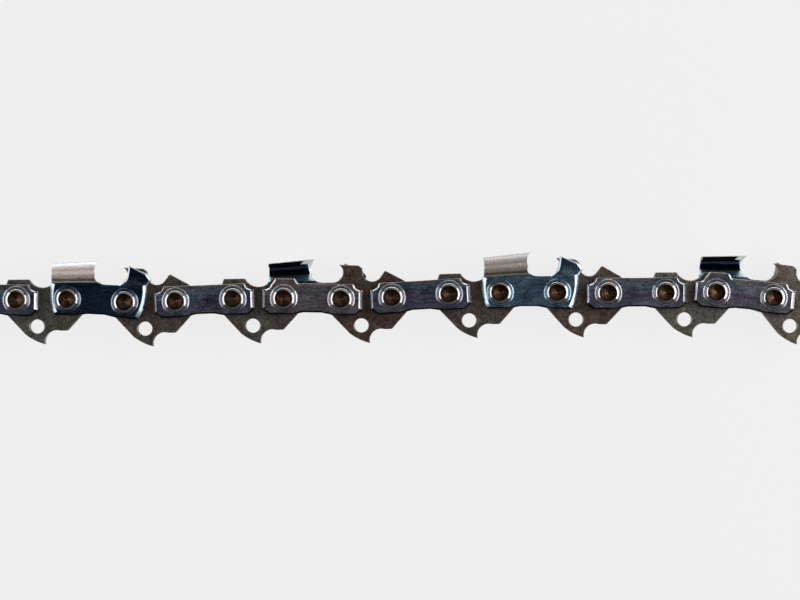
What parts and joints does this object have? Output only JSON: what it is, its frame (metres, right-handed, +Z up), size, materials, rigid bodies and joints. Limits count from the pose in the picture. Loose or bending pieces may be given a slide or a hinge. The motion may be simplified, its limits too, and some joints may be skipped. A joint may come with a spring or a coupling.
{
  "type": "saw chain length",
  "caption": "Length of low-profile saw chain lying on its side: hooked drive links, tie straps and alternating right and left cutters, hinged at every rivet.",
  "frame": {"origin": "middle of the chain's box on the bench under it", "axes": "+X the way the chain travels, +Y towards the cutting edges, +Z up along the rivets to the near side"},
  "size_m": [0.1564, 0.0162, 0.0066],
  "materials": {
    "drive_link_steel": "dark phosphated steel, fine matte grain",
    "strap_steel": "satin blued steel with bright worn edges",
    "cutter_chrome": "satin chrome plate over blued steel, ground cutting face",
    "rivet_steel": "spun steel head, bright rim and bronze-brown middle"
  },
  "bodies": {
    "pair_1": {"tie_strap_near_1": "strap_steel", "tie_strap_far_1": "strap_steel", "rivet_front_1": "rivet_steel"},
    "drive_1": {"drive_link_1": "drive_link_steel"},
    "pair_2": {"right_cutter_near_2": "cutter_chrome", "humped_strap_far_2": "strap_steel", "rivet_rear_2": "rivet_steel", "rivet_front_2": "rivet_steel"},
    "drive_2": {"guard_link_2": "drive_link_steel"},
    "pair_3": {"tie_strap_near_3": "strap_steel", "tie_strap_far_3": "strap_steel", "rivet_rear_3": "rivet_steel", "rivet_front_3": "rivet_steel"},
    "drive_3": {"drive_link_3": "drive_link_steel"},
    "pair_4": {"humped_strap_near_4": "strap_steel", "left_cutter_far_4": "cutter_chrome", "rivet_rear_4": "rivet_steel", "rivet_front_4": "rivet_steel"},
    "drive_4": {"guard_link_4": "drive_link_steel"},
    "pair_5": {"tie_strap_near_5": "strap_steel", "tie_strap_far_5": "strap_steel", "rivet_rear_5": "rivet_steel", "rivet_front_5": "rivet_steel"},
    "drive_5": {"drive_link_5": "drive_link_steel"},
    "pair_6": {"right_cutter_near_6": "cutter_chrome", "humped_strap_far_6": "strap_steel", "rivet_rear_6": "rivet_steel", "rivet_front_6": "rivet_steel"},
    "drive_6": {"guard_link_6": "drive_link_steel"},
    "pair_7": {"tie_strap_near_7": "strap_steel", "tie_strap_far_7": "strap_steel", "rivet_rear_7": "rivet_steel", "rivet_front_7": "rivet_steel"},
    "drive_7": {"drive_link_7": "drive_link_steel"},
    "pair_8": {"humped_strap_near_8": "strap_steel", "left_cutter_far_8": "cutter_chrome", "rivet_rear_8": "rivet_steel", "rivet_front_8": "rivet_steel"},
    "drive_8": {"guard_link_8": "drive_link_steel"}
  },
  "joints": [
    {"name": "pivot_01", "type": "hinge", "parent": "drive_1", "child": "pair_1", "pos_m": [-0.06449, -0.00004, 0.00332], "axis": [0, 0, 1], "range_deg": [-13.3, 31.7]},
    {"name": "pivot_02", "type": "hinge", "parent": "pair_2", "child": "drive_1", "pos_m": [-0.05574, 0.00007, 0.00332], "axis": [0, 0, 1], "range_deg": [-18.5, 26.5]},
    {"name": "pivot_03", "type": "hinge", "parent": "drive_2", "child": "pair_2", "pos_m": [-0.04586, -0.00042, 0.00332], "axis": [0, 0, 1], "range_deg": [-11.4, 33.6]},
    {"name": "pivot_04", "type": "hinge", "parent": "pair_3", "child": "drive_2", "pos_m": [-0.03711, -0.00029, 0.00332], "axis": [0, 0, 1], "range_deg": [-13.5, 31.5]},
    {"name": "pivot_05", "type": "hinge", "parent": "drive_3", "child": "pair_3", "pos_m": [-0.02723, 0.0001, 0.00332], "axis": [0, 0, 1], "range_deg": [-16.6, 28.4]},
    {"name": "pivot_06", "type": "hinge", "parent": "pair_4", "child": "drive_3", "pos_m": [-0.01848, 0.00021, 0.00332], "axis": [0, 0, 1], "range_deg": [-16.4, 28.6]},
    {"name": "pivot_07", "type": "hinge", "parent": "drive_4", "child": "pair_4", "pos_m": [-0.00859, 0.00009, 0.00332], "axis": [0, 0, 1], "range_deg": [-12.5, 32.5]},
    {"name": "pivot_08", "type": "hinge", "parent": "drive_4", "child": "pair_5", "pos_m": [0.00016, 0.00036, 0.00332], "axis": [0, 0, 1], "range_deg": [-31.7, 13.3]},
    {"name": "pivot_09", "type": "hinge", "parent": "pair_5", "child": "drive_5", "pos_m": [0.01003, 0.00097, 0.00332], "axis": [0, 0, 1], "range_deg": [-28.1, 16.9]},
    {"name": "pivot_10", "type": "hinge", "parent": "drive_5", "child": "pair_6", "pos_m": [0.01878, 0.00121, 0.00332], "axis": [0, 0, 1], "range_deg": [-28.6, 16.4]},
    {"name": "pivot_11", "type": "hinge", "parent": "pair_6", "child": "drive_6", "pos_m": [0.02866, 0.00125, 0.00332], "axis": [0, 0, 1], "range_deg": [-29.1, 15.9]},
    {"name": "pivot_12", "type": "hinge", "parent": "drive_6", "child": "pair_7", "pos_m": [0.03742, 0.00114, 0.00332], "axis": [0, 0, 1], "range_deg": [-31.1, 13.9]},
    {"name": "pivot_13", "type": "hinge", "parent": "pair_7", "child": "drive_7", "pos_m": [0.0473, 0.00121, 0.00332], "axis": [0, 0, 1], "range_deg": [-29.9, 15.1]},
    {"name": "pivot_14", "type": "hinge", "parent": "drive_7", "child": "pair_8", "pos_m": [0.05606, 0.00125, 0.00332], "axis": [0, 0, 1], "range_deg": [-24.3, 20.7]},
    {"name": "pivot_15", "type": "hinge", "parent": "pair_8", "child": "drive_8", "pos_m": [0.0659, 0.00032, 0.00332], "axis": [0, 0, 1], "range_deg": [-31.4, 13.6]}
  ]
}
